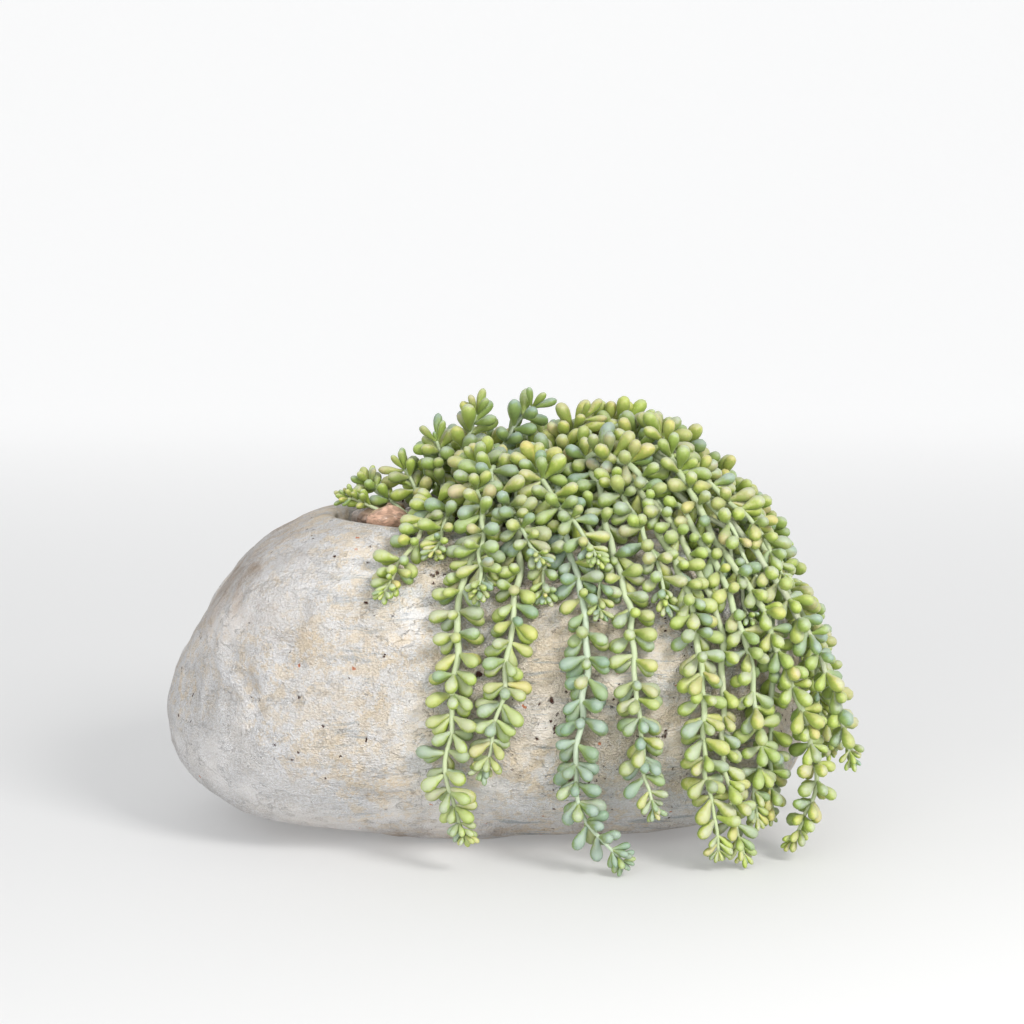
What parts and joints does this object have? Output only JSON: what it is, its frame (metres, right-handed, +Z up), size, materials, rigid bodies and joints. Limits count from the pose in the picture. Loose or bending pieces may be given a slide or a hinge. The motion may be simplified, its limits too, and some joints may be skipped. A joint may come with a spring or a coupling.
{
  "type": "potted sedum arrangement",
  "caption": "Trailing plump-leaved sedum growing from soil in a hollowed boulder-shaped stone planter.",
  "frame": {"origin": "middle of the flat that the stone planter stands on, at the level of the surface", "axes": "+Z up, +X along the planter's length towards the end that the stems hang over, -Y the side that the longest stems fall down"},
  "size_m": [0.405, 0.3011, 0.2556],
  "materials": {
    "stone": "rough limewashed cast stone",
    "soil": "dark crumbly potting soil",
    "pebble": "smooth river pebble",
    "sedum": "matt waxy leaf"
  },
  "bodies": {
    "root": {"planter": "stone", "soil": "soil", "pebble_01": "pebble", "pebble_02": "pebble", "pebble_03": "pebble", "pebble_04": "pebble", "pebble_05": "pebble", "pebble_06": "pebble", "pebble_07": "pebble", "pebble_08": "pebble", "sedum_stem_01": "sedum", "sedum_stem_02": "sedum", "sedum_stem_03": "sedum", "sedum_stem_04": "sedum", "sedum_stem_05": "sedum", "sedum_stem_06": "sedum", "sedum_stem_07": "sedum", "sedum_stem_08": "sedum", "sedum_stem_09": "sedum", "sedum_stem_10": "sedum", "sedum_stem_11": "sedum", "sedum_stem_12": "sedum", "sedum_stem_13": "sedum", "sedum_stem_14": "sedum", "sedum_stem_15": "sedum", "sedum_stem_16": "sedum", "sedum_stem_17": "sedum", "sedum_stem_18": "sedum", "sedum_stem_19": "sedum", "sedum_stem_20": "sedum", "sedum_stem_21": "sedum", "sedum_stem_22": "sedum", "sedum_stem_23": "sedum", "sedum_stem_24": "sedum", "sedum_stem_25": "sedum", "sedum_stem_26": "sedum", "sedum_stem_27": "sedum", "sedum_stem_28": "sedum", "sedum_stem_29": "sedum", "sedum_stem_30": "sedum", "sedum_stem_31": "sedum", "sedum_stem_32": "sedum", "sedum_stem_33": "sedum", "sedum_stem_34": "sedum", "sedum_stem_35": "sedum", "sedum_stem_36": "sedum", "sedum_stem_37": "sedum", "sedum_stem_38": "sedum", "sedum_stem_39": "sedum", "sedum_stem_40": "sedum", "sedum_stem_41": "sedum", "sedum_stem_42": "sedum", "sedum_stem_43": "sedum", "sedum_stem_44": "sedum", "sedum_stem_45": "sedum", "sedum_stem_46": "sedum"}
  },
  "joints": []
}
